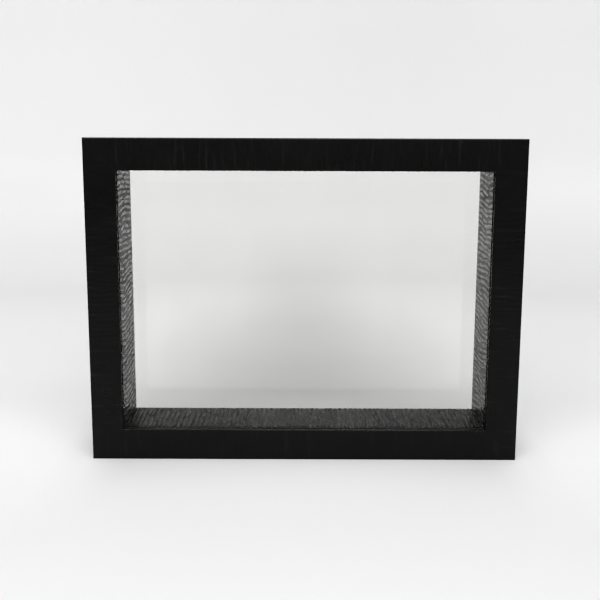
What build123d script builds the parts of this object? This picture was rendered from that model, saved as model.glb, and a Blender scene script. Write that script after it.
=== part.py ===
from build123d import *
import os

# Free-standing, see-through display case, 8 x 6 x 1 1/2 in, glazed front and back
# with two 7 x 5 in panes. Millimetres, +X to the viewer's right, -Y towards the
# viewer, +Z up. The origin is the centre of the underside of the frame's depth.

# ---------------------------------------------------------------- driving sizes
CASE_W = 203.2  # outside width of the frame
CASE_H = 152.4  # outside height of the frame
CASE_D = 38.1  # depth of the frame, front face to rear face

FACE_W = 15.0  # width of a rail's front face, outer arris to sight edge
LIP_T = 1.5  # thickness of the lip that holds the front pane in
ARRIS_R = 0.5  # eased outer arris at the front
SIGHT_R = 0.5  # eased sight edge
REAR_R = 0.5  # eased outer arris at the back

GLASS_W = 177.8  # both panes are cut to the same size
GLASS_H = 127.0
GLASS_T = 2.0
GLASS_GAP = 0.4  # setting clearance round a pane, each side
GLASS_SEAM = 0.2  # seamed edge of the glass

WALL_T = (CASE_W - GLASS_W) / 2 - GLASS_GAP  # rail behind the lip
LINER_T = FACE_W - WALL_T  # brings the inner wall flush with the sight edge

# Turn buttons on the back, one screw through each.
PIVOT_IN = 7.3  # pivot, measured in from the frame's outer face
BUTTON_TAIL_R = 3.2
BUTTON_TIP_R = 2.4
BUTTON_TIP_AT = 4.3  # from pivot to the centre of the tip's round
BUTTON_T = 0.9
BUTTON_EASE = 0.2
BOSS_R = 2.8  # embossed seat round the hole, on the rail's side
BOSS_T = 0.2
BUTTON_PLAY = 0.1  # free space under the boss and under the screw head
BUTTON_SPAN = 50.0  # pivots of the top and bottom pairs, each side of centre

SCREW_R = 1.1  # screw's outside radius
SCREW_RUN = 0.08  # running clearance of a button on its screw, radial
SCREW_DEEP = 9.0  # how far a screw goes into the rail
SCREW_TIP = 2.0  # length of the pointed end
SCREW_POINT_R = 0.15
HEAD_R = 2.3
HEAD_T = 1.4
HEAD_EASE = 0.55
RECESS_W = 0.55  # cross recess
RECESS_L = 2.7
RECESS_D = 0.8

# V-nails across the rear of each mitre.
NAIL_REACH = 3.6  # half width of the V
NAIL_RUN = 3.0  # length of the V along the mitre
NAIL_WEB = 0.75  # web of the V, measured along the mitre
NAIL_L = 10.0  # driven length
NAIL_SET = 0.2  # set below the rear face
NAIL_AT = (3.2, 8.7)  # points of the two V's, measured from the outer corner

# ---------------------------------------------------------------- derived levels
Y_FRONT = -CASE_D / 2
Y_REAR = CASE_D / 2
Y_PANE_1 = Y_FRONT + LIP_T  # front face of the front pane
Y_LINER_1 = Y_PANE_1 + GLASS_T  # front ends of the liner strips
Y_PANE_2 = Y_REAR - GLASS_T  # front face of the rear pane, rear ends of the liner
Y_BOSS = Y_REAR + BUTTON_PLAY
Y_BUTTON = Y_BOSS + BOSS_T
Y_HEAD = Y_BUTTON + BUTTON_T + BUTTON_PLAY

OPEN_W = CASE_W - 2 * WALL_T  # rebate, inside to inside
OPEN_H = CASE_H - 2 * WALL_T
SIGHT_W = CASE_W - 2 * FACE_W  # sight opening
SIGHT_H = CASE_H - 2 * FACE_W
MID_Z = CASE_H / 2

# A rail's own plane: x runs front to back, y runs inward from the outer face,
# z runs along the rail from one mitre's outer corner to the other's.
BOTTOM = Plane(origin=(-CASE_W / 2, 0, 0), x_dir=(0, 1, 0), z_dir=(1, 0, 0))
TOP = Plane(origin=(CASE_W / 2, 0, CASE_H), x_dir=(0, 1, 0), z_dir=(-1, 0, 0))
LEFT = Plane(origin=(-CASE_W / 2, 0, CASE_H), x_dir=(0, 1, 0), z_dir=(0, 0, -1))
RIGHT = Plane(origin=(CASE_W / 2, 0, 0), x_dir=(0, 1, 0), z_dir=(0, 0, 1))

# Outer corners as (x, z, direction of the mitre's inward run).
CORNERS = [
    (-CASE_W / 2, 0, (1, 1)),
    (CASE_W / 2, 0, (-1, 1)),
    (CASE_W / 2, CASE_H, (-1, -1)),
    (-CASE_W / 2, CASE_H, (1, -1)),
]

# Pivots as (x, z, direction in which the button points at rest).
PIVOTS = {
    "turn_button_top_left": (-BUTTON_SPAN, CASE_H - PIVOT_IN, (0, -1)),
    "turn_button_top_right": (BUTTON_SPAN, CASE_H - PIVOT_IN, (0, -1)),
    "turn_button_bottom_left": (-BUTTON_SPAN, PIVOT_IN, (0, 1)),
    "turn_button_bottom_right": (BUTTON_SPAN, PIVOT_IN, (0, 1)),
    "turn_button_left": (-CASE_W / 2 + PIVOT_IN, MID_Z, (1, 0)),
    "turn_button_right": (CASE_W / 2 - PIVOT_IN, MID_Z, (-1, 0)),
}


def back_plane(x, z, point, y):
    """A plane facing the rear at depth y, at (x, z), with its own +Y along point."""
    return Plane(origin=(x, y, z), x_dir=(-point[1], 0, point[0]), z_dir=(0, 1, 0))


def pivot_plane(name, y):
    x, z, point = PIVOTS[name]
    return back_plane(x, z, point, y)


def rail_section(plane):
    """The L-section of a rail, drawn on the rail's own plane."""
    with BuildSketch(plane) as section:
        with BuildLine():
            Polyline(
                (Y_FRONT, 0),
                (Y_REAR, 0),
                (Y_REAR, WALL_T),
                (Y_PANE_1, WALL_T),
                (Y_PANE_1, FACE_W),
                (Y_FRONT, FACE_W),
                close=True,
            )
        make_face()
        front_side = section.vertices().group_by(Axis.X)[0].sort_by(Axis.Y)
        fillet(front_side[-1], radius=SIGHT_R)
        outer_side = section.vertices().group_by(Axis.Y)[0].sort_by(Axis.X)
        fillet(outer_side[-1], radius=REAR_R)
        outer_side = section.vertices().group_by(Axis.Y)[0].sort_by(Axis.X)
        fillet(outer_side[0], radius=ARRIS_R)
    return section.sketch


def nail_outlines(y):
    """The outlines of all the V-nails, drawn at depth y."""
    places = []
    for x, z, run in CORNERS:
        unit = (run[0] / 2**0.5, run[1] / 2**0.5)
        for start in NAIL_AT:
            places.append(
                back_plane(x + unit[0] * start, z + unit[1] * start, unit, y)
            )
    with BuildSketch(*places) as outlines:
        with BuildLine():
            Polyline(
                (0, 0),
                (NAIL_REACH, NAIL_RUN),
                (NAIL_REACH, NAIL_RUN + NAIL_WEB),
                (0, NAIL_WEB),
                (-NAIL_REACH, NAIL_RUN + NAIL_WEB),
                (-NAIL_REACH, NAIL_RUN),
                close=True,
            )
        make_face()
    return outlines.sketch


def button_outline(place):
    """A turn button: a wide round tail, and a narrower tip that reaches the glass."""
    with BuildSketch(place) as outline:
        Circle(BUTTON_TAIL_R)
        with Locations((0, BUTTON_TIP_AT)):
            Circle(BUTTON_TIP_R)
        make_hull()
    return outline.sketch


def cut_mitres(plane, length):
    """Both ends of a rail, cut at 45 degrees from the outer corners inward."""
    split(
        bisect_by=Plane(
            origin=plane.from_local_coords(Vector(0, 0, 0)),
            x_dir=plane.x_dir,
            z_dir=plane.z_dir - plane.y_dir,
        ),
        keep=Keep.TOP,
    )
    split(
        bisect_by=Plane(
            origin=plane.from_local_coords(Vector(0, 0, length)),
            x_dir=plane.x_dir,
            z_dir=-plane.z_dir - plane.y_dir,
        ),
        keep=Keep.TOP,
    )


def cut_nail_pockets():
    extrude(
        nail_outlines(Y_REAR), amount=-(NAIL_SET + NAIL_L), mode=Mode.SUBTRACT
    )


def drill_pilot_hole(name):
    """A blind hole with the screw's own point, from the rear face."""
    with Locations(pivot_plane(name, Y_REAR)):
        Hole(radius=SCREW_R, depth=SCREW_DEEP - SCREW_TIP)
    with Locations(pivot_plane(name, Y_REAR - SCREW_DEEP)):
        Cone(
            SCREW_POINT_R,
            SCREW_R,
            SCREW_TIP,
            align=(Align.CENTER, Align.CENTER, Align.MIN),
            mode=Mode.SUBTRACT,
        )


def make_turn_button(name):
    """A stamped plate with an embossed seat round its hole."""
    extrude(button_outline(pivot_plane(name, Y_BUTTON)), amount=BUTTON_T)
    fillet(faces().sort_by(Axis.Y)[-1].edges(), radius=BUTTON_EASE)
    with Locations(pivot_plane(name, Y_BOSS)):
        Cylinder(
            BOSS_R, BOSS_T, align=(Align.CENTER, Align.CENTER, Align.MIN)
        )
    with Locations(pivot_plane(name, Y_BUTTON + BUTTON_T)):
        Hole(radius=SCREW_R + SCREW_RUN)


# ---------------------------------------------------------------- frame rails
with BuildPart() as bottom_rail:
    extrude(rail_section(BOTTOM), amount=CASE_W)
    cut_mitres(BOTTOM, CASE_W)
    cut_nail_pockets()
    drill_pilot_hole("turn_button_bottom_left")
    drill_pilot_hole("turn_button_bottom_right")
bottom_rail.part.label = "bottom_rail"

with BuildPart() as top_rail:
    extrude(rail_section(TOP), amount=CASE_W)
    cut_mitres(TOP, CASE_W)
    cut_nail_pockets()
    drill_pilot_hole("turn_button_top_left")
    drill_pilot_hole("turn_button_top_right")
top_rail.part.label = "top_rail"

with BuildPart() as left_rail:
    extrude(rail_section(LEFT), amount=CASE_H)
    cut_mitres(LEFT, CASE_H)
    cut_nail_pockets()
    drill_pilot_hole("turn_button_left")
left_rail.part.label = "left_rail"

with BuildPart() as right_rail:
    extrude(rail_section(RIGHT), amount=CASE_H)
    cut_mitres(RIGHT, CASE_H)
    cut_nail_pockets()
    drill_pilot_hole("turn_button_right")
right_rail.part.label = "right_rail"

# ---------------------------------------------------------------- glass panes
with BuildPart() as front_glass:
    with BuildSketch(Plane(origin=(0, Y_PANE_1, MID_Z), x_dir=(1, 0, 0), z_dir=(0, 1, 0))):
        Rectangle(GLASS_W, GLASS_H)
    extrude(amount=GLASS_T)
    chamfer(edges(), length=GLASS_SEAM)
front_glass.part.label = "front_glass"

with BuildPart() as rear_glass:
    with BuildSketch(Plane(origin=(0, Y_PANE_2, MID_Z), x_dir=(1, 0, 0), z_dir=(0, 1, 0))):
        Rectangle(GLASS_W, GLASS_H)
    extrude(amount=GLASS_T)
    chamfer(edges(), length=GLASS_SEAM)
rear_glass.part.label = "rear_glass"

# ---------------------------------------------------------------- liner strips
# The top and bottom strips run the full width of the rebate, the side strips
# stand between them. They keep the panes apart and line the inside.
with BuildPart() as bottom_liner:
    with BuildSketch(Plane.YZ.offset(-OPEN_W / 2)):
        with Locations(((Y_LINER_1 + Y_PANE_2) / 2, WALL_T + LINER_T / 2)):
            Rectangle(Y_PANE_2 - Y_LINER_1, LINER_T)
    extrude(amount=OPEN_W)
bottom_liner.part.label = "bottom_liner"

with BuildPart() as top_liner:
    with BuildSketch(Plane.YZ.offset(-OPEN_W / 2)):
        with Locations(
            ((Y_LINER_1 + Y_PANE_2) / 2, CASE_H - WALL_T - LINER_T / 2)
        ):
            Rectangle(Y_PANE_2 - Y_LINER_1, LINER_T)
    extrude(amount=OPEN_W)
top_liner.part.label = "top_liner"

with BuildPart() as left_liner:
    with BuildSketch(Plane.XY.offset(FACE_W)):
        with Locations((-SIGHT_W / 2 - LINER_T / 2, (Y_LINER_1 + Y_PANE_2) / 2)):
            Rectangle(LINER_T, Y_PANE_2 - Y_LINER_1)
    extrude(amount=SIGHT_H)
left_liner.part.label = "left_liner"

with BuildPart() as right_liner:
    with BuildSketch(Plane.XY.offset(FACE_W)):
        with Locations((SIGHT_W / 2 + LINER_T / 2, (Y_LINER_1 + Y_PANE_2) / 2)):
            Rectangle(LINER_T, Y_PANE_2 - Y_LINER_1)
    extrude(amount=SIGHT_H)
right_liner.part.label = "right_liner"

# ---------------------------------------------------------------- V-nails
with BuildPart() as corner_v_nails:
    extrude(nail_outlines(Y_REAR - NAIL_SET), amount=-NAIL_L)
corner_v_nails.part.label = "corner_v_nails"

# ---------------------------------------------------------------- turn buttons
with BuildPart() as turn_button_top_left:
    make_turn_button("turn_button_top_left")
turn_button_top_left.part.label = "turn_button_top_left"

with BuildPart() as turn_button_top_right:
    make_turn_button("turn_button_top_right")
turn_button_top_right.part.label = "turn_button_top_right"

with BuildPart() as turn_button_bottom_left:
    make_turn_button("turn_button_bottom_left")
turn_button_bottom_left.part.label = "turn_button_bottom_left"

with BuildPart() as turn_button_bottom_right:
    make_turn_button("turn_button_bottom_right")
turn_button_bottom_right.part.label = "turn_button_bottom_right"

with BuildPart() as turn_button_left:
    make_turn_button("turn_button_left")
turn_button_left.part.label = "turn_button_left"

with BuildPart() as turn_button_right:
    make_turn_button("turn_button_right")
turn_button_right.part.label = "turn_button_right"

# ---------------------------------------------------------------- button screws
with BuildPart() as button_screws:
    with BuildSketch(*[pivot_plane(name, Y_HEAD) for name in PIVOTS]):
        Circle(HEAD_R)
    extrude(amount=HEAD_T)
    fillet(faces().filter_by(Axis.Y).group_by(Axis.Y)[-1].edges(), radius=HEAD_EASE)
    with BuildSketch(*[pivot_plane(name, Y_HEAD) for name in PIVOTS]):
        Circle(SCREW_R)
    extrude(amount=-(Y_HEAD - Y_REAR + SCREW_DEEP - SCREW_TIP))
    with Locations(*[pivot_plane(name, Y_REAR - SCREW_DEEP) for name in PIVOTS]):
        Cone(
            SCREW_POINT_R,
            SCREW_R,
            SCREW_TIP,
            align=(Align.CENTER, Align.CENTER, Align.MIN),
        )
    with BuildSketch(*[pivot_plane(name, Y_HEAD + HEAD_T) for name in PIVOTS]):
        Rectangle(RECESS_L, RECESS_W, rotation=30)
        Rectangle(RECESS_W, RECESS_L, rotation=30)
    extrude(amount=-RECESS_D, taper=15, mode=Mode.SUBTRACT)
button_screws.part.label = "button_screws"

# ---------------------------------------------------------------- export
os.makedirs("parts", exist_ok=True)
for piece in (
    bottom_rail,
    top_rail,
    left_rail,
    right_rail,
    front_glass,
    rear_glass,
    bottom_liner,
    top_liner,
    left_liner,
    right_liner,
    corner_v_nails,
    turn_button_top_left,
    turn_button_top_right,
    turn_button_bottom_left,
    turn_button_bottom_right,
    turn_button_left,
    turn_button_right,
    button_screws,
):
    export_step(piece.part, "parts/" + piece.part.label + ".step")
    print(piece.part.label, round(piece.part.volume, 2), len(piece.part.solids()))
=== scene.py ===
import math

import bmesh
import bpy
import numpy as np
from mathutils import Matrix, Vector


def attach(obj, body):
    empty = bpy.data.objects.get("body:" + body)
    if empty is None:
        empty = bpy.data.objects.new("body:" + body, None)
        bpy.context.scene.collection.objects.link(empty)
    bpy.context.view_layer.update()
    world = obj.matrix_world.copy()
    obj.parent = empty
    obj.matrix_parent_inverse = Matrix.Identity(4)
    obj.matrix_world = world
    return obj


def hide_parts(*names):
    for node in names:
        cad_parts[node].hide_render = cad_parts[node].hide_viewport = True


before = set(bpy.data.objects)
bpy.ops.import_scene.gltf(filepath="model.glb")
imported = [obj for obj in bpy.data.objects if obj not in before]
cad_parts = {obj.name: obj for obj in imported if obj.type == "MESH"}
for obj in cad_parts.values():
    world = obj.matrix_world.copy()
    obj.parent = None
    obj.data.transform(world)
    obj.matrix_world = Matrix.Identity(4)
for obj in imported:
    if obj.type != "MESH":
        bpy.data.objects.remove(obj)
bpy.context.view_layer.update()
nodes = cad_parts
MM = 0.001

# ------------------------------------------------------------------ sizes, mm
W, H, D = 203.2, 152.4, 38.1
FACE, LIP, WALL = 15.0, 1.5, 12.3
GLASS_T = 2.0
ARRIS_R, SIGHT_R, REAR_R = 0.5, 0.5, 0.5
Y0, Y1 = -D / 2, D / 2
Y_PANE_1 = Y0 + LIP
Y_LINER_1 = Y_PANE_1 + GLASS_T
Y_PANE_2 = Y1 - GLASS_T
OPEN_W, OPEN_H = W - 2 * WALL, H - 2 * WALL
SIGHT_W, SIGHT_H = W - 2 * FACE, H - 2 * FACE
RELIEF = 0.34  # depth of the emboss where the sight edge starts
FACE_SHARE, SIDE_SHARE = 0.12, 0.5  # of it, on the front face and on the outer sides
PITCH, STROKE_HALF = 2.3, (5.0, 11.0)  # the emboss's rows and half strokes
UV = "OFBake"


# ------------------------------------------------------------------ noise
def lattice(ix, iy, seed):
    h = (ix * 374761393 + iy * 668265263 + seed * 2147483647) & 0xFFFFFFFF
    h = ((h ^ (h >> 13)) * 1274126177) & 0xFFFFFFFF
    return ((h ^ (h >> 16)) & 0xFFFF) / 65535.0


def perlin(x, y, seed):
    """Gradient noise, about -1 to 1."""
    ix, iy = np.floor(x).astype(np.int64), np.floor(y).astype(np.int64)
    fx, fy = x - ix, y - iy
    u, v = fx * fx * fx * (fx * (fx * 6 - 15) + 10), fy * fy * fy * (fy * (fy * 6 - 15) + 10)

    def corner(dx, dy):
        a = lattice(ix + dx, iy + dy, seed) * 2 * math.pi
        return np.cos(a) * (fx - dx) + np.sin(a) * (fy - dy)

    top = corner(0, 0) * (1 - u) + corner(1, 0) * u
    low = corner(0, 1) * (1 - u) + corner(1, 1) * u
    return (top * (1 - v) + low * v) * 1.5


class Emboss:
    """Long scales pressed side by side in even rows that drift a little. u runs along them, v across
    them, both in mm."""

    def __init__(self, length_u, length_v, seed, pitch, sway=2.0):
        rng = np.random.default_rng(seed)
        self.du, self.dv, self.pad = 0.16, 0.08, 8.0
        pad, du, dv = self.pad, self.du, self.dv
        nu = int((length_u + 2 * pad) / du) + 2
        nv = int((length_v + 2 * pad) / dv) + 2
        h = np.zeros((nu, nv))
        row = -pad
        while row < length_v + pad:
            row += pitch * rng.uniform(0.9, 1.1)
            cu = -pad - rng.uniform(0, 12)
            while cu < length_u + pad:
                half = rng.uniform(*STROKE_HALF)
                u, v = cu + half, row + rng.normal(0, 0.05 * pitch)
                cu = u + half - rng.uniform(2.0, 5.0)
                wide, high = pitch * rng.uniform(0.54, 0.66), rng.uniform(0.75, 1.0)
                slope, bow = math.tan(math.radians(rng.normal(0, 1.6))), rng.normal(0, 0.005)
                a = max(0, int((u - half + pad) / du))
                b = min(nu, int((u + half + pad) / du) + 1)
                if b <= a:
                    continue
                x = -pad + np.arange(a, b) * du
                uu = (x - u)[:, None]
                drift = sway * perlin(x / 19.0, np.full(len(x), v / 23.0), seed + 7)[:, None]
                mid = v + drift + slope * uu + bow * uu**2
                c = max(0, int((mid.min() - wide + pad) / dv))
                d = min(nv, int((mid.max() + wide + pad) / dv) + 2)
                if d <= c:
                    continue
                vv = (-pad + np.arange(c, d) * dv)[None, :]
                taper = np.clip(1 - (uu / half) ** 2, 0, 1)
                off = np.clip((vv - mid) / (wide * (0.45 + 0.55 * taper**0.5)), -1, 1)
                across = 0.5 + 0.5 * np.cos(np.pi * off)
                np.maximum(h[a:b, c:d], high * taper**0.8 * across, out=h[a:b, c:d])
        for _ in range(2):  # the foil rounds the bottoms of the grooves
            h[1:-1] = 0.25 * h[:-2] + 0.5 * h[1:-1] + 0.25 * h[2:]
            h[:, 1:-1] = 0.25 * h[:, :-2] + 0.5 * h[:, 1:-1] + 0.25 * h[:, 2:]
        self.h = np.clip(h, 0, 1)

    def at(self, u, v):
        """Height from 0 to 1, bilinear."""
        x = np.clip((u + self.pad) / self.du, 0, self.h.shape[0] - 1.001)
        y = np.clip((v + self.pad) / self.dv, 0, self.h.shape[1] - 1.001)
        i, j = x.astype(int), y.astype(int)
        fx, fy = x - i, y - j
        h = self.h
        return (
            h[i, j] * (1 - fx) * (1 - fy)
            + h[i + 1, j] * fx * (1 - fy)
            + h[i, j + 1] * (1 - fx) * fy
            + h[i + 1, j + 1] * fx * fy
        )


# ------------------------------------------------------------------ meshes
def steps(a, b, pitch, skip_last=False):
    n = max(1, round(abs(b - a) / pitch))
    t = np.linspace(a, b, n + 1)
    return list(t[:-1] if skip_last else t)


def arc(cx, cy, r, a0, a1, n):
    """Points inside an arc, without its ends."""
    for k in range(1, n):
        a = a0 + (a1 - a0) * k / n
        yield cx + r * math.cos(a), cy + r * math.sin(a), math.cos(a), math.sin(a)


def columns(length, pitch):
    """Even steps along a rail, closer at its two ends, as a share of the length."""
    n = round(length / pitch)
    even = np.linspace(0, 1, n + 1)
    extra = np.array([0.12, 0.3]) / length
    return np.unique(np.concatenate([even, extra, 1 - extra]))


def strip_object(name, co, run, relief=None, sharp=40):
    """A closed tube of rings, co[ring, place], with flat ends. run is the distance round it at each
    ring. Its UV map is the tube unrolled, with the two ends laid above."""
    rings, places = co.shape[:2]
    idx = np.arange(rings * places).reshape(rings, places)
    nxt = np.roll(idx, -1, axis=0)
    quads = np.stack([idx[:, :-1], idx[:, 1:], nxt[:, 1:], nxt[:, :-1]], -1).reshape(-1, 4)
    caps = [idx[:, 0].tolist(), idx[::-1, -1].tolist()]
    me = bpy.data.meshes.new(name)
    me.from_pydata(co.reshape(-1, 3).tolist(), [], quads.tolist() + caps)
    along = np.linalg.norm(np.diff(co, axis=1), axis=2).mean(0).cumsum()
    along = np.concatenate([[0.0], along])
    total = np.append(run, run[-1] + np.linalg.norm(co[0, 0] - co[-1, 0]) / MM) * MM
    scale = 0.94 / along[-1]
    x = 0.03 + along * scale
    y = 0.02 + total * min(scale, 0.84 / total[-1])
    x0, x1 = np.broadcast_to(x[:-1], (rings, places - 1)), np.broadcast_to(x[1:], (rings, places - 1))
    y0 = np.broadcast_to(y[:-1, None], x0.shape)
    y1 = np.broadcast_to(y[1:, None], x0.shape)
    uv = np.stack([x0, y0, x1, y0, x1, y1, x0, y1], -1).reshape(-1, 2)
    ends = []
    for k, ring in enumerate((co[:, 0], co[::-1, -1])):
        flat = ring - ring.min(0)
        spread = np.argsort(-np.ptp(ring, axis=0))[:2]
        p = flat[:, spread] / max(1e-9, np.ptp(ring, axis=0).max())
        ends.append(np.stack([0.05 + 0.4 * k + 0.25 * p[:, 0], 0.885 + 0.1 * p[:, 1] * 0.9], -1))
    uv = np.concatenate([uv] + ends)
    layer = me.uv_layers.new(name=UV)
    layer.uv.foreach_set("vector", uv.astype(np.float32).ravel())
    if relief is not None:
        me.attributes.new("relief", "FLOAT", "POINT").data.foreach_set("value", relief.astype(np.float32).ravel())
    bm = bmesh.new()
    bm.from_mesh(me)
    if bm.calc_volume(signed=True) < 0:
        bmesh.ops.reverse_faces(bm, faces=bm.faces)
    bm.to_mesh(me)
    bm.free()
    ob = bpy.data.objects.new(name, me)
    bpy.context.scene.collection.objects.link(ob)
    finish_shading(me, sharp)
    return ob


def finish_shading(me, sharp):
    me.shade_smooth()
    me.set_sharp_from_angle(angle=math.radians(sharp))


def rail_profile():
    """The L-section: x from front to back, y inward, the outward normal, the distance round it and
    the share of the emboss there."""
    pts = []
    half = math.pi / 2

    def add(x, y, nx, ny, share):
        s = pts[-1][4] + math.hypot(x - pts[-1][0], y - pts[-1][1]) if pts else 0.0
        pts.append((x, y, nx, ny, s, share))

    for x in steps(Y_PANE_1, Y0 + SIGHT_R, 0.4):  # sight side of the lip
        add(x, FACE, 0, 1, 1.0)
    for k, (x, y, nx, ny) in enumerate(arc(Y0 + SIGHT_R, FACE - SIGHT_R, SIGHT_R, half, 2 * half, 6)):
        add(x, y, nx, ny, 1.0 + (FACE_SHARE - 1.0) * min(1.0, (k + 1) / 4))
    for y in steps(FACE - SIGHT_R, ARRIS_R, 0.66):  # front face
        add(Y0, y, -1, 0, FACE_SHARE)
    for x, y, nx, ny in arc(Y0 + ARRIS_R, ARRIS_R, ARRIS_R, 2 * half, 3 * half, 6):
        add(x, y, nx, ny, FACE_SHARE)
    for x in steps(Y0 + ARRIS_R, Y1 - REAR_R, 0.8):  # outer side
        add(x, 0, 0, -1, FACE_SHARE + (SIDE_SHARE - FACE_SHARE) * min(1.0, (x - Y0 - ARRIS_R) / 4))
    for x, y, nx, ny in arc(Y1 - REAR_R, REAR_R, REAR_R, 3 * half, 4 * half, 4):
        add(x, y, nx, ny, SIDE_SHARE * 0.5)
    for y in steps(REAR_R, WALL, 4.0):  # rear face
        add(Y1, y, 1, 0, 0.0)
    for x in steps(Y1, Y_PANE_1, 9.0)[1:]:  # rebate
        add(x, WALL, 0, 1, 0.0)
    return np.array(pts)


PROFILE = rail_profile()


def make_rail(name, origin, inward, along, length, seed, face=1.0, pitch=0.205):
    t = columns(length, pitch)
    x, y, nx, ny, s, share = (PROFILE[:, k][:, None] for k in range(6))
    emb = Emboss(float(s.max()), length, seed, PITCH)
    v = y + t[None, :] * (length - 2 * y)
    share = share * np.where(nx < -0.5, face, 1.0)
    depth = RELIEF * share * (1 - emb.at(s + 0 * v, v))
    near = np.minimum(v - y, length - y - v)  # from the mitre
    depth = depth + 0.006 * np.exp(-((near / 0.14) ** 2)) * (share > 0)
    px = x - nx * depth
    py = y - ny * depth
    pz = py + t[None, :] * (length - 2 * py)
    co = (
        np.array(origin, float)[None, None, :]
        + px[..., None] * np.array([0.0, 1.0, 0.0])
        + py[..., None] * np.array(inward, float)
        + pz[..., None] * np.array(along, float)
    ) * MM
    return strip_object(name, co, PROFILE[:, 4])


def make_liner(name, origin, along, length, normal, seed, rows, deep, sway, pitch=0.17):
    """A strip that runs front to back from origin, with its wrapped side along normal."""
    wide = Y_PANE_2 - Y_LINER_1
    thick = FACE - WALL
    pts = [(u, 0.0, 1.0) for u in steps(0, wide, 0.55)] + [(wide, -thick, 0.0), (0.0, -thick, 0.0)]
    u, n, share = (np.array(pts)[:, k][:, None] for k in range(3))
    t = columns(length, pitch)
    v = t[None, :] * length + 0 * u
    emb = Emboss(wide, length, seed, rows, sway)
    relief = emb.at(u + 0 * v, v)
    depth = deep * (1 - relief) * share
    co = (
        np.array(origin, float)[None, None, :]
        + (u + 0 * v)[..., None] * np.array([0.0, 1.0, 0.0])
        + (n - depth)[..., None] * np.array(normal, float)
        + v[..., None] * np.array(along, float)
    ) * MM
    run = np.concatenate([u[:-2, 0], [wide + thick, 2 * wide + thick]])
    return strip_object(name, co, run, relief)


rails = {
    "bottom_rail": make_rail("embossed_bottom_rail", (-W / 2, 0, 0), (0, 0, 1), (1, 0, 0), W, 11),
    "top_rail": make_rail("embossed_top_rail", (W / 2, 0, H), (0, 0, -1), (-1, 0, 0), W, 23, 1.7),
    "left_rail": make_rail("embossed_left_rail", (-W / 2, 0, H), (1, 0, 0), (0, 0, -1), H, 37),
    "right_rail": make_rail("embossed_right_rail", (W / 2, 0, 0), (-1, 0, 0), (0, 0, 1), H, 41),
}
Y_L = Y_LINER_1
liners = {}
for side, (at, run, length, normal, seed, rows, deep, sway) in {
    "bottom": ((-OPEN_W / 2, Y_L, FACE), (1, 0, 0), OPEN_W, (0, 0, 1), 53, 2.45, 0.2, 0.9),
    "top": ((-OPEN_W / 2, Y_L, H - FACE), (1, 0, 0), OPEN_W, (0, 0, -1), 59, 2.4, 0.2, 1.4),
    "left": ((-SIGHT_W / 2, Y_L, FACE), (0, 0, 1), SIGHT_H, (1, 0, 0), 61, 2.65, 0.14, 2.0),
    "right": ((SIGHT_W / 2, Y_L, FACE), (0, 0, 1), SIGHT_H, (-1, 0, 0), 67, 2.6, 0.09, 1.7),
}.items():
    liners[side + "_liner"] = make_liner(
        "embossed_" + side + "_liner", at, run, length, normal, seed, rows, deep, sway
    )


def cut_nail_slots():
    """The V-nails' slots in the rails' rear faces, open to the back."""
    src = nodes["corner_v_nails"].data
    me = src.copy()
    back = max(v.co.y for v in me.vertices)
    front = min(v.co.y for v in me.vertices)
    for v in me.vertices:
        if v.co.y > back - 0.0001:
            v.co.y = Y1 * MM + 0.001
        elif v.co.y < front + 0.0001:
            v.co.y -= 0.0001
    me.materials.clear()
    bm = bmesh.new()
    bm.from_mesh(me)
    bmesh.ops.remove_doubles(bm, verts=bm.verts, dist=1e-7)
    bm.to_mesh(me)
    bm.free()
    while me.uv_layers:
        me.uv_layers.remove(me.uv_layers[0])
    layer = me.uv_layers.new(name=UV)
    spots = np.array([[0.93 + 40 * (v.co.y % 0.001), 0.92 + 40 * (v.co.x % 0.001)] for v in me.vertices])
    loops = np.empty(len(me.loops), np.int32)
    me.loops.foreach_get("vertex_index", loops)
    layer.uv.foreach_set("vector", spots[loops].astype(np.float32).ravel())
    cutter = bpy.data.objects.new("slot_cutter", me)
    bpy.context.scene.collection.objects.link(cutter)
    for ob in rails.values():
        mod = ob.modifiers.new("slots", "BOOLEAN")
        mod.operation = "DIFFERENCE"
        mod.solver = "MANIFOLD"
        mod.object = cutter
        depsgraph = bpy.context.evaluated_depsgraph_get()
        cut = bpy.data.meshes.new_from_object(ob.evaluated_get(depsgraph))
        ob.modifiers.clear()
        cut.materials.clear()
        cut.polygons.foreach_set("material_index", np.zeros(len(cut.polygons), np.int32))
        old, ob.data = ob.data, cut
        cut.name = ob.name
        bpy.data.meshes.remove(old)
        finish_shading(cut, 40)
    bpy.data.objects.remove(cutter)
    bpy.data.meshes.remove(me)


cut_nail_slots()


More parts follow.
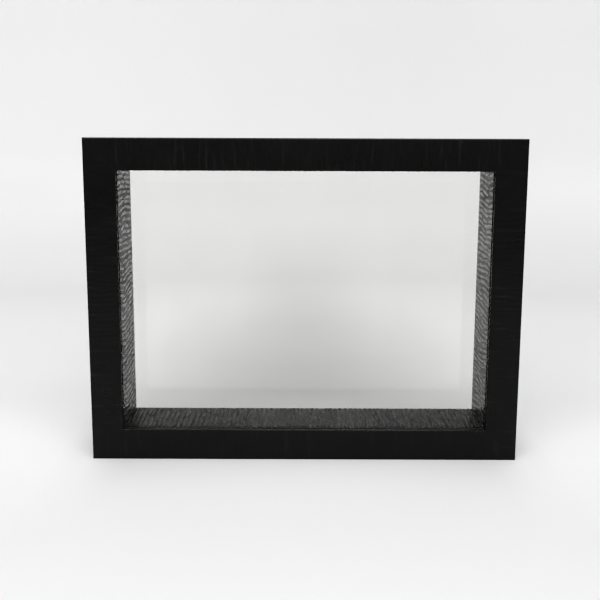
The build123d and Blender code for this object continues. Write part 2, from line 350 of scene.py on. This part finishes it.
# ------------------------------------------------------------------ materials
class Nodes:
    def __init__(self, name):
        self.mat = bpy.data.materials.new(name)
        self.mat.use_nodes = True
        self.tree = self.mat.node_tree
        self.tree.nodes.clear()
        self.out = self.new("ShaderNodeOutputMaterial")

    def new(self, kind, **values):
        n = self.tree.nodes.new(kind)
        for k, v in values.items():
            if hasattr(n, k):
                setattr(n, k, v)
            else:
                n.inputs[k.replace("_", " ")].default_value = v
        return n

    def link(self, a, b):
        self.tree.links.new(a, b)

    def math(self, op, a, b=None, clamp=False):
        n = self.tree.nodes.new("ShaderNodeMath")
        n.operation = op
        n.use_clamp = clamp
        for i, x in enumerate((a, b)):
            if x is None:
                continue
            if isinstance(x, (int, float)):
                n.inputs[i].default_value = x
            else:
                self.link(x, n.inputs[i])
        return n.outputs[0]

    def noise(self, scale, detail=3.0, rough=0.5, vector=None, distortion=0.0):
        n = self.tree.nodes.new("ShaderNodeTexNoise")
        n.inputs["Scale"].default_value = scale
        n.inputs["Detail"].default_value = detail
        n.inputs["Roughness"].default_value = rough
        n.inputs["Distortion"].default_value = distortion
        if vector is not None:
            self.link(vector, n.inputs["Vector"])
        return n.outputs["Fac"]

    def ramp(self, value, lo, hi, a, b):
        n = self.tree.nodes.new("ShaderNodeMapRange")
        n.inputs["From Min"].default_value = lo
        n.inputs["From Max"].default_value = hi
        n.inputs["To Min"].default_value = a
        n.inputs["To Max"].default_value = b
        self.link(value, n.inputs["Value"])
        return n.outputs["Result"]

    def bell(self, value, width):
        """exp(-(value / width)^2)"""
        q = self.math("DIVIDE", value, width)
        return self.math("EXPONENT", self.math("MULTIPLY", self.math("MULTIPLY", q, q), -1.0))

    def mix(self, fac, a, b):
        n = self.tree.nodes.new("ShaderNodeMix")
        n.data_type = "RGBA"
        self.link(fac, n.inputs[0])
        for x, socket in ((a, n.inputs[6]), (b, n.inputs[7])):
            if isinstance(x, tuple):
                socket.default_value = (*x, 1)
            else:
                self.link(x, socket)
        return n.outputs[2]

    def pick(self, fac, a, b):
        """a where fac is 0 and b where it is 1, for numbers."""
        n = self.tree.nodes.new("ShaderNodeMix")
        self.link(fac, n.inputs[0])
        self.link(a, n.inputs[2])
        self.link(b, n.inputs[3])
        return n.outputs[0]

    def coords(self, scale=(1, 1, 1)):
        c = self.tree.nodes.new("ShaderNodeTexCoord")
        m = self.tree.nodes.new("ShaderNodeMapping")
        m.inputs["Scale"].default_value = scale
        self.link(c.outputs["Object"], m.inputs["Vector"])
        return m.outputs["Vector"]


def black_wrap(name, run, ior=1.5, rough=(0.28, 0.33), valley=None):
    """Black embossed foil: fine streaks across the moulding under a semi-gloss film. run is the
    axis that the rail or strip runs along. The frame's back is matt black paint over the wood."""
    k = Nodes(name)
    p = k.new("ShaderNodeBsdfPrincipled")
    p.inputs["IOR"].default_value = ior
    xyz = k.tree.nodes.new("ShaderNodeSeparateXYZ")
    k.link(k.coords(), xyz.inputs[0])
    across = [0.1, 0.1, 0.1]
    across[run] = 1.0
    grain = k.noise(2600.0, 2.0, 0.55, k.coords(across))
    creases = k.ramp(k.noise(520.0, 2.0, 0.6, k.coords(across)), 0.56, 0.7, 0, 1)
    pores = k.noise(900.0, 3.0, 0.6, k.coords())
    cloud = k.noise(45.0, 3.0, 0.5, k.coords())
    colour = k.mix(k.ramp(pores, 0.35, 0.7, 0, 1), (0.0045, 0.0044, 0.0044), (0.0085, 0.0082, 0.0079))
    colour = k.mix(creases, colour, (0.0135, 0.0132, 0.0128))
    r = k.math("ADD", k.ramp(cloud, 0.3, 0.7, *rough), k.ramp(grain, 0.3, 0.7, -0.03, 0.04))
    r = k.math("ADD", r, k.math("MULTIPLY", creases, 0.06))
    if valley:  # the emboss is burnished on top and stays matt in its valleys, less so in mid-case
        high = k.tree.nodes.new("ShaderNodeAttribute")
        high.attribute_name = "relief"
        dull = k.ramp(k.math("ABSOLUTE", xyz.outputs["X"]), 0.01, 0.045, *valley)
        r = k.math("ADD", r, k.math("MULTIPLY", k.ramp(high.outputs["Fac"], 0.3, 0.75, 1, 0), dull))
    height = k.math("SUBTRACT", k.math("ADD", grain, k.math("MULTIPLY", pores, 0.6)), creases)
    if valley:  # the strip's bare edges, against the panes
        front = k.ramp(xyz.outputs["Y"], (Y_LINER_1 + 0.02) * MM, (Y_LINER_1 + 0.06) * MM, 1, 0)
        rear = k.ramp(xyz.outputs["Y"], (Y_PANE_2 - 0.06) * MM, (Y_PANE_2 - 0.02) * MM, 0, 1)
        edge = k.math("MAXIMUM", front, rear)
        board = k.mix(k.ramp(pores, 0.35, 0.7, 0, 1), (0.038, 0.036, 0.034), (0.052, 0.049, 0.046))
        colour = k.mix(edge, colour, board)
        r = k.pick(edge, r, k.ramp(pores, 0.3, 0.7, 0.85, 0.75))
        height = k.pick(edge, height, k.math("MULTIPLY", pores, 0.6))
    else:
        along = [1.0, 1.0, 1.0]
        along[run] = 0.04
        wood = k.noise(1500.0, 4.0, 0.65, k.coords(along))
        rear = k.ramp(xyz.outputs["Y"], (Y1 - 0.12) * MM, (Y1 - 0.04) * MM, 0, 1)
        paint = k.mix(k.ramp(wood, 0.3, 0.7, 0, 1), (0.03, 0.0295, 0.029), (0.056, 0.055, 0.053))
        colour = k.mix(rear, colour, paint)
        r = k.pick(rear, r, k.ramp(wood, 0.3, 0.7, 0.62, 0.46))
        height = k.pick(rear, height, k.math("MULTIPLY", wood, 2.0))
    k.link(colour, p.inputs["Base Color"])
    k.link(r, p.inputs["Roughness"])
    b = k.tree.nodes.new("ShaderNodeBump")
    b.inputs["Strength"].default_value = 0.17 if valley else 0.35
    b.inputs["Distance"].default_value = 0.00003
    k.link(height, b.inputs["Height"])
    k.link(b.outputs["Normal"], p.inputs["Normal"])
    k.link(p.outputs[0], k.out.inputs["Surface"])
    return k.mat


wrap_x = black_wrap("black_embossed_wrap_across", 0)
wrap_z = black_wrap("black_embossed_wrap_sides", 2)
LINER = {"ior": 1.42, "rough": (0.09, 0.15)}
liner_x = black_wrap("black_embossed_liner_across", 0, valley=(0.13, 0.27), **LINER)
liner_l = black_wrap("black_embossed_liner_left", 2, valley=(0.28, 0.28), **LINER)
liner_r = black_wrap("black_embossed_liner_right", 2, valley=(0.24, 0.24), **LINER)

for name, ob in rails.items():
    ob.data.materials.append(wrap_x if name in ("top_rail", "bottom_rail") else wrap_z)
    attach(ob, "case")
    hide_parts(name)
for name, ob in liners.items():
    ob.data.materials.append({"left_liner": liner_l, "right_liner": liner_r}.get(name, liner_x))
    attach(ob, "case")
    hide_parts(name)


def clear_glass(name, mirrored):
    """A thin clear pane: what passes goes straight on, and both faces mirror by their angle."""
    k = Nodes(name)
    face = k.tree.nodes.new("ShaderNodeLayerWeight")
    face.inputs["Blend"].default_value = 0.5
    power = k.math("POWER", face.outputs["Facing"], 5.0)
    fresnel = k.math("ADD", k.math("MULTIPLY", power, 0.957), mirrored, clamp=True)
    through = k.tree.nodes.new("ShaderNodeBsdfTransparent")
    haze = k.noise(38.0, 4.0, 0.6, k.coords((1, 1, 0.6)))
    k.link(k.mix(k.ramp(haze, 0.35, 0.75, 0, 1), (0.991, 0.992, 0.988), (0.983, 0.985, 0.980)), through.inputs["Color"])
    mirror = k.tree.nodes.new("ShaderNodeBsdfGlossy")
    mirror.inputs["Roughness"].default_value = 0.0
    mirror.inputs["Color"].default_value = (1, 1, 1, 1)
    mix = k.tree.nodes.new("ShaderNodeMixShader")
    k.link(fresnel, mix.inputs[0])
    k.link(through.outputs[0], mix.inputs[1])
    k.link(mirror.outputs[0], mix.inputs[2])
    k.link(mix.outputs[0], k.out.inputs["Surface"])
    return k.mat


def plated_steel(name, low, high, rough, metallic=0.0):
    k = Nodes(name)
    p = k.new("ShaderNodeBsdfPrincipled")
    p.inputs["IOR"].default_value = 1.5
    p.inputs["Metallic"].default_value = metallic
    fine = k.noise(1800.0, 3.0, 0.6, k.coords())
    wide = k.noise(160.0, 4.0, 0.6, k.coords())
    k.link(k.mix(k.ramp(wide, 0.3, 0.7, 0, 1), low, high), p.inputs["Base Color"])
    k.link(k.math("ADD", k.ramp(wide, 0.3, 0.7, *rough), k.ramp(fine, 0.3, 0.7, -0.05, 0.05)), p.inputs["Roughness"])
    b = k.tree.nodes.new("ShaderNodeBump")
    b.inputs["Strength"].default_value = 0.3
    b.inputs["Distance"].default_value = 0.00002
    k.link(fine, b.inputs["Height"])
    k.link(b.outputs["Normal"], p.inputs["Normal"])
    k.link(p.outputs[0], k.out.inputs["Surface"])
    return k.mat


def dress(ob, mat):
    if not ob.material_slots:
        ob.data.materials.append(mat)
    for s in ob.material_slots:
        s.material = mat


dress(nodes["front_glass"], clear_glass("clear_front_glass", 0.018))
dress(nodes["rear_glass"], clear_glass("clear_rear_glass", 0.034))
button = plated_steel("zinc_plated_steel", (0.5, 0.5, 0.51), (0.63, 0.63, 0.63), (0.24, 0.38), 1.0)
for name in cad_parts:
    if name.startswith("turn_button"):
        dress(nodes[name], button)
dress(
    nodes["button_screws"],
    plated_steel("zinc_plated_screw", (0.4, 0.4, 0.41), (0.56, 0.555, 0.54), (0.22, 0.36), 1.0),
)
dress(
    nodes["corner_v_nails"],
    plated_steel("bright_steel_strip", (0.42, 0.42, 0.44), (0.6, 0.6, 0.61), (0.25, 0.4), 1.0),
)


# ------------------------------------------------------------------ stage
def make_sweep():
    """Floor that rises behind the object as one curved sheet."""
    start, r = 0.485, 0.40
    ys = list(np.linspace(-3.0, start, 29))
    zs = [0.0] * len(ys)
    for a in np.linspace(0, math.pi / 2, 19)[1:]:
        ys.append(start + r * math.sin(a))
        zs.append(r - r * math.cos(a))
    for z in np.linspace(r, 2.4, 10)[1:]:
        ys.append(start + r)
        zs.append(z)
    xs = np.linspace(-3.0, 3.0, 31)
    pts = [(x, y, z) for y, z in zip(ys, zs) for x in xs]
    m = len(xs)
    faces = [
        (i * m + j, i * m + j + 1, (i + 1) * m + j + 1, (i + 1) * m + j)
        for i in range(len(ys) - 1)
        for j in range(m - 1)
    ]
    me = bpy.data.meshes.new("pale_sweep")
    me.from_pydata(pts, [], faces)
    me.shade_smooth()
    ob = bpy.data.objects.new("pale_sweep", me)
    bpy.context.scene.collection.objects.link(ob)
    k = Nodes("pale_sweep")
    p = k.new("ShaderNodeBsdfPrincipled")
    p.inputs["Roughness"].default_value = 0.8
    p.inputs["Specular IOR Level"].default_value = 0.15
    xyz = k.tree.nodes.new("ShaderNodeSeparateXYZ")
    k.link(k.coords(), xyz.inputs[0])
    # painted light and shade: the paper is painted paler where the lamps' light falls off before the bend and darker
    # higher up the backdrop, with a little random tone
    cloud = k.ramp(k.noise(3.0, 2.0, 0.5, k.coords()), 0.3, 0.7, -0.06, 0.06)
    painted_light_before_bend = k.math("MULTIPLY", k.ramp(xyz.outputs["Y"], 0.02, 0.34, 0, 1), k.ramp(xyz.outputs["Z"], 0.0, 0.14, 1, 0))
    high = k.ramp(xyz.outputs["Z"], 0.1, 0.36, 0, 1)
    tone = k.math("ADD", k.math("SUBTRACT", painted_light_before_bend, k.math("MULTIPLY", high, 0.35)), cloud)
    grey = k.ramp(tone, -0.5, 1.0, 0.77, 0.93)
    # painted light and shade: paler to the sides, behind the case's bottom corners and up the backdrop where the lamps
    # leave it dim, a painted contact shadow close to the case and a painted soft shadow behind it
    across, deep, z = k.math("ABSOLUTE", xyz.outputs["X"]), xyz.outputs["Y"], xyz.outputs["Z"]
    painted_side_light = k.math("MULTIPLY", k.ramp(across, 0.09, 0.12, 0, 0.13), k.ramp(deep, -0.11, -0.02, 0, 1))
    painted_side_light = k.math("MULTIPLY", painted_side_light, k.ramp(deep, 0.10, 0.45, 1, 0))
    # painted light: paler farther out to the sides behind the case
    far = k.math("MULTIPLY", k.ramp(across, 0.05, 0.40, 0, 0.06), k.ramp(deep, 0.10, 0.45, 0, 1))
    painted_side_light = k.math("ADD", painted_side_light, far)
    # painted light: the floor behind the case's bottom corners is lifted against the case's cast shadow there
    corner = k.math("MULTIPLY", k.bell(k.math("SUBTRACT", across, 0.09), 0.03), k.bell(k.math("SUBTRACT", deep, 0.14), 0.06))
    painted_side_light = k.math("ADD", painted_side_light, k.math("MULTIPLY", corner, 0.07))
    # painted light: paler on the lower bend, where the sweep's curve gets less light
    painted_bend_light = k.math("MULTIPLY", k.ramp(z, 0.03, 0.09, 0, 0.08), k.ramp(z, 0.12, 0.3, 1, 0.5))
    grey = k.math("MULTIPLY", grey, k.math("ADD", k.math("ADD", painted_side_light, painted_bend_light), 1.0))
    # painted soft shadow of the case on the floor behind it, narrowing with distance
    shade = k.math("MINIMUM", k.ramp(deep, 0.0, 0.26, 0.14, 0.24), k.ramp(deep, 0.30, 0.70, 0.25, 0.0))
    shade = k.math("MULTIPLY", shade, k.ramp(deep, 0.0, 0.03, 0, 1))
    shade = k.math("MULTIPLY", shade, k.bell(across, k.ramp(deep, 0.08, 0.55, 0.07, 0.055)))
    # painted shade on the floor just behind the base, and a little darker towards +X
    base = k.math("MULTIPLY", k.ramp(deep, 0.02, 0.08, 0.0, 0.035), k.ramp(z, 0.0, 0.08, 1, 0))
    shade = k.math("ADD", shade, k.math("ADD", base, k.ramp(xyz.outputs["X"], 0.0, 0.16, 0.0, 0.03)))
    # painted contact shadow on the floor just in front of and behind the case
    gap = k.math("MAXIMUM", k.math("SUBTRACT", k.math("ABSOLUTE", deep), 0.019), 0.0)
    painted_contact_shadow = k.math("MULTIPLY", k.bell(gap, 0.030), k.ramp(across, 0.085, 0.105, 0.12, 0.0))
    lit = k.math("MULTIPLY", k.math("SUBTRACT", 1.0, shade), k.math("SUBTRACT", 1.0, painted_contact_shadow))
    grey = k.math("MINIMUM", k.math("MULTIPLY", grey, lit), 0.955)
    k.link(grey, p.inputs["Base Color"])
    # painted reflection: past the table's front edge and a little above the object up the backdrop, glossy rays see a
    # dim grey in place of the paper, standing in for a dim room
    painted_reflection_room = k.tree.nodes.new("ShaderNodeBsdfDiffuse")
    painted_reflection_room.inputs["Color"].default_value = (0.3, 0.3, 0.3, 1)
    past = k.math("MAXIMUM", k.ramp(xyz.outputs["Y"], -0.53, -0.48, 1, 0), k.ramp(xyz.outputs["Z"], 0.13, 0.19, 0, 1))
    ray = k.tree.nodes.new("ShaderNodeLightPath")
    mix = k.tree.nodes.new("ShaderNodeMixShader")
    k.link(k.math("MULTIPLY", past, ray.outputs["Is Glossy Ray"]), mix.inputs[0])
    k.link(p.outputs[0], mix.inputs[1])
    k.link(painted_reflection_room.outputs[0], mix.inputs[2])
    # far off to the sides and behind the lights the paper fades into one pale ground
    ground = k.tree.nodes.new("ShaderNodeEmission")
    ground.inputs["Color"].default_value = (0.90, 0.90, 0.903, 1)
    distance = k.math("SQRT", k.math("ADD", k.math("POWER", xyz.outputs["X"], 2.0), k.math("POWER", deep, 2.0)))
    fade = k.math("MULTIPLY", k.ramp(distance, 0.8, 1.7, 0, 1), k.ramp(deep, -0.1, -0.5, 0, 1))
    fade = k.math("MAXIMUM", fade, k.ramp(across, 0.55, 1.2, 0, 1))
    last = k.tree.nodes.new("ShaderNodeMixShader")
    k.link(k.math("MULTIPLY", fade, ray.outputs["Is Camera Ray"]), last.inputs[0])
    k.link(mix.outputs[0], last.inputs[1])
    k.link(ground.outputs[0], last.inputs[2])
    k.link(last.outputs[0], k.out.inputs["Surface"])
    me.materials.append(k.mat)
    return ob


make_sweep()


def area(name, at, to, size, power, colour=(1, 1, 1)):
    data = bpy.data.lights.new(name, "AREA")
    data.shape = "RECTANGLE"
    data.size, data.size_y = size
    data.energy = power
    data.color = colour
    ob = bpy.data.objects.new(name, data)
    ob.location = at
    ob.rotation_euler = (Vector(to) - Vector(at)).to_track_quat("-Z", "Y").to_euler()
    ob.visible_camera = False
    bpy.context.scene.collection.objects.link(ob)
    return ob


area("wide_softbox", (0.0, -1.15, 1.1), (0.0, 0.1, 0.05), (2.2, 1.2), 27.0)
area("key_softbox", (0.0, -1.35, 1.0), (0.0, 0.1, 0.05), (0.8, 0.7), 7.0)

world = bpy.data.worlds.new("studio")
bpy.context.scene.world = world
world.use_nodes = True
wt = world.node_tree
wt.nodes.clear()
wo = wt.nodes.new("ShaderNodeOutputWorld")
dim = wt.nodes.new("ShaderNodeBackground")
dim.inputs["Color"].default_value = (1, 1, 1, 1)
dim.inputs["Strength"].default_value = 0.26
pale = wt.nodes.new("ShaderNodeBackground")
pale.inputs["Color"].default_value = (0.90, 0.90, 0.903, 1)
pale.inputs["Strength"].default_value = 1.0
path = wt.nodes.new("ShaderNodeLightPath")
pick = wt.nodes.new("ShaderNodeMixShader")
wt.links.new(path.outputs["Is Camera Ray"], pick.inputs[0])
wt.links.new(dim.outputs[0], pick.inputs[1])
wt.links.new(pale.outputs[0], pick.inputs[2])
wt.links.new(pick.outputs[0], wo.inputs["Surface"])

# ------------------------------------------------------------------ camera
cam_data = bpy.data.cameras.new("camera")
cam = bpy.data.objects.new("camera", cam_data)
bpy.context.scene.collection.objects.link(cam)
pitch, roll = 0.17169, 0.00369
fwd = Vector((0, math.cos(pitch), -math.sin(pitch)))
up = Vector((0, math.sin(pitch), math.cos(pitch)))
right = fwd.cross(up)
r2 = right * math.cos(roll) + up * math.sin(roll)
u2 = -right * math.sin(roll) + up * math.cos(roll)
m = Matrix((r2, u2, -fwd)).transposed().to_4x4()
m.translation = Vector((-2.283, Y0 - 421.33, 151.01)) * MM
cam.matrix_world = m
cam_data.sensor_width = 36.0
cam_data.lens = 916.02 * 36.0 / 600.0
cam_data.clip_start, cam_data.clip_end = 0.01, 20.0
bpy.context.scene.camera = cam

view = bpy.context.scene.view_settings
view.view_transform = "Standard"
view.look = "None"
# a camera's contrast: the deep shadows go down, and the tones above the middle stay
view.use_curve_mapping = True
curve = view.curve_mapping.curves[3]
for x, y in (
    (0.02, 0.003),
    (0.045, 0.0095),
    (0.08, 0.032),
    (0.12, 0.073),
    (0.2, 0.16),
    (0.3, 0.27),
    (0.45, 0.44),
    (0.7, 0.7),
):
    curve.points.new(x, y)
for point in curve.points:
    point.handle_type = "VECTOR"
view.curve_mapping.update()
